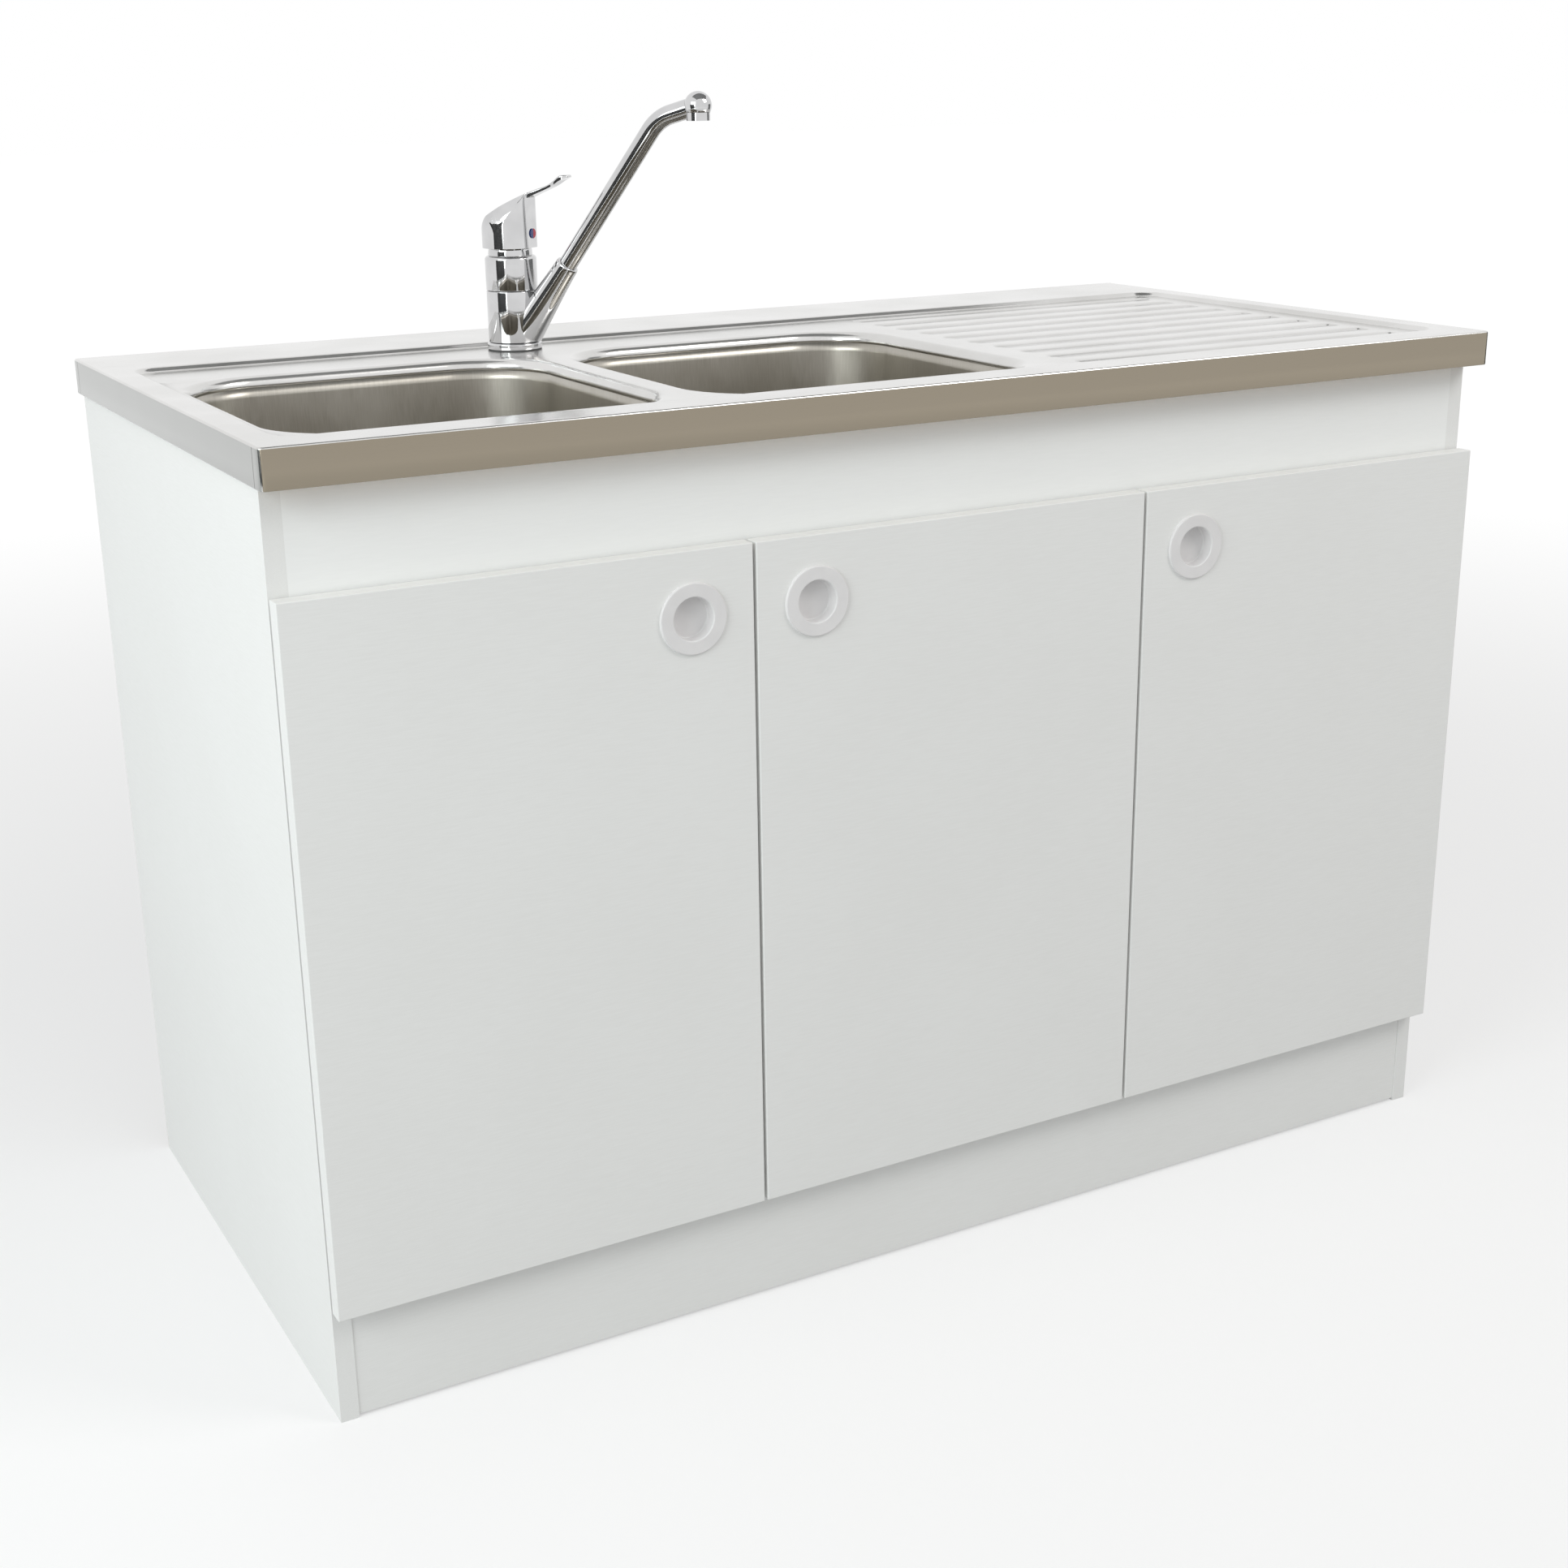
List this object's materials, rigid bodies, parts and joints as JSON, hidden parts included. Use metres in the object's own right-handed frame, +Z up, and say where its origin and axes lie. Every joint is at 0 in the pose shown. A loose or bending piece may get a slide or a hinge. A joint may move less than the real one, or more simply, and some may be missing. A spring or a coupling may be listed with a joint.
{
  "type": "kitchen sink unit",
  "caption": "White kitchen base cabinet with hinged doors and round recessed pulls, under a lay-on steel sink with side-by-side bowls, ribbed drainer and lever mixer tap.",
  "frame": {"origin": "on the floor, in the middle of the sink top's outline", "axes": "+Z up, +X from left to right along the front, doors face -Y"},
  "size_m": [1.2, 0.6, 1.0505],
  "materials": {
    "white_board": "white melamine-faced particle board",
    "sink_steel": "satin stainless steel, 0.8 mm sheet",
    "batten_wood": "plain softwood and chipboard",
    "bracket_steel": "zinc-plated steel",
    "hinge_steel": "nickel-plated pressed steel",
    "pull_satin": "satin grey moulded plastic",
    "waste_plastic": "white moulded plastic",
    "strainer_steel": "polished stainless steel",
    "rubber_grey": "soft rubber",
    "buffer_clear": "soft clear buffer",
    "tap_chrome": "polished chrome on brass",
    "tap_brass": "plain brass",
    "cartridge_plastic": "grey moulded plastic",
    "index_plastic": "glossy red and blue cap"
  },
  "bodies": {
    "cabinet": {"left_side": "white_board", "right_side": "white_board", "bottom_panel": "white_board", "divider": "white_board", "plinth": "white_board", "fascia": "white_board", "rear_top_rail": "white_board", "rear_bottom_rail": "white_board", "shelf": "white_board", "shelf_pins": "bracket_steel", "cam_fittings": "bracket_steel", "sink_top": "sink_steel", "bowl_left": "sink_steel", "bowl_right": "sink_steel", "sink_frame": "batten_wood", "drainer_board": "batten_wood", "sink_brackets": "bracket_steel", "strainer_pots": "strainer_steel", "waste_seals": "rubber_grey", "waste_bodies": "waste_plastic", "cross_pipe": "waste_plastic", "waste_tee": "waste_plastic", "trap_body": "waste_plastic", "trap_cup": "waste_plastic", "outlet_pipe": "waste_plastic", "slip_nuts": "waste_plastic", "tap_gasket": "rubber_grey", "tap_body": "tap_chrome", "tap_crown": "tap_chrome", "tap_cartridge": "cartridge_plastic", "tap_stiffener": "bracket_steel", "tap_horseshoe": "bracket_steel", "tap_stud": "bracket_steel", "tap_nut": "tap_brass", "hinge_arms": "hinge_steel", "hinge_plates": "hinge_steel"},
    "door_left": {"door_left": "white_board", "pull_left": "pull_satin", "hinge_cups_left": "hinge_steel", "hinge_pins_left": "hinge_steel", "door_buffers_left": "buffer_clear"},
    "door_middle": {"door_middle": "white_board", "pull_middle": "pull_satin", "hinge_cups_middle": "hinge_steel", "hinge_pins_middle": "hinge_steel", "door_buffers_middle": "buffer_clear"},
    "door_right": {"door_right": "white_board", "pull_right": "pull_satin", "hinge_cups_right": "hinge_steel", "hinge_pins_right": "hinge_steel", "door_buffers_right": "buffer_clear"},
    "spout": {"tap_spout": "tap_chrome", "tap_aerator": "tap_chrome"},
    "tap_swivel": {"tap_carrier": "tap_brass", "tap_pivot_pin": "tap_brass"},
    "lever": {"tap_stem": "tap_brass", "tap_lever": "tap_chrome", "tap_index": "index_plastic"},
    "basket_left": {"basket_left": "strainer_steel"},
    "basket_right": {"basket_right": "strainer_steel"}
  },
  "joints": [
    {"name": "door_left_hinge", "type": "hinge", "parent": "cabinet", "child": "door_left", "pos_m": [-0.5872, -0.2855, 0.4055], "axis": [0, 0, -1], "range_deg": [0, 95]},
    {"name": "door_middle_hinge", "type": "hinge", "parent": "cabinet", "child": "door_middle", "pos_m": [0.1895, -0.2855, 0.4055], "axis": [0, 0, 1], "range_deg": [0, 95]},
    {"name": "door_right_hinge", "type": "hinge", "parent": "cabinet", "child": "door_right", "pos_m": [0.5872, -0.2855, 0.4055], "axis": [0, 0, 1], "range_deg": [0, 95]},
    {"name": "spout_swivel", "type": "hinge", "parent": "cabinet", "child": "spout", "pos_m": [-0.216, 0.155, 0.816], "axis": [0, 0, 1], "range_deg": [-120, 60]},
    {"name": "lever_turn", "type": "hinge", "parent": "cabinet", "child": "tap_swivel", "pos_m": [-0.216, 0.155, 0.896], "axis": [0, 0, 1], "range_deg": [-45, 45]},
    {"name": "lever_lift", "type": "hinge", "parent": "tap_swivel", "child": "lever", "pos_m": [-0.216, 0.155, 0.905], "axis": [-0.788, -0.6157, 0], "range_deg": [0, 18]},
    {"name": "basket_left_lift", "type": "slide", "parent": "cabinet", "child": "basket_left", "axis": [0, 0, 1], "range_m": [0, 0.05]},
    {"name": "basket_right_lift", "type": "slide", "parent": "cabinet", "child": "basket_right", "axis": [0, 0, 1], "range_m": [0, 0.05]}
  ]
}
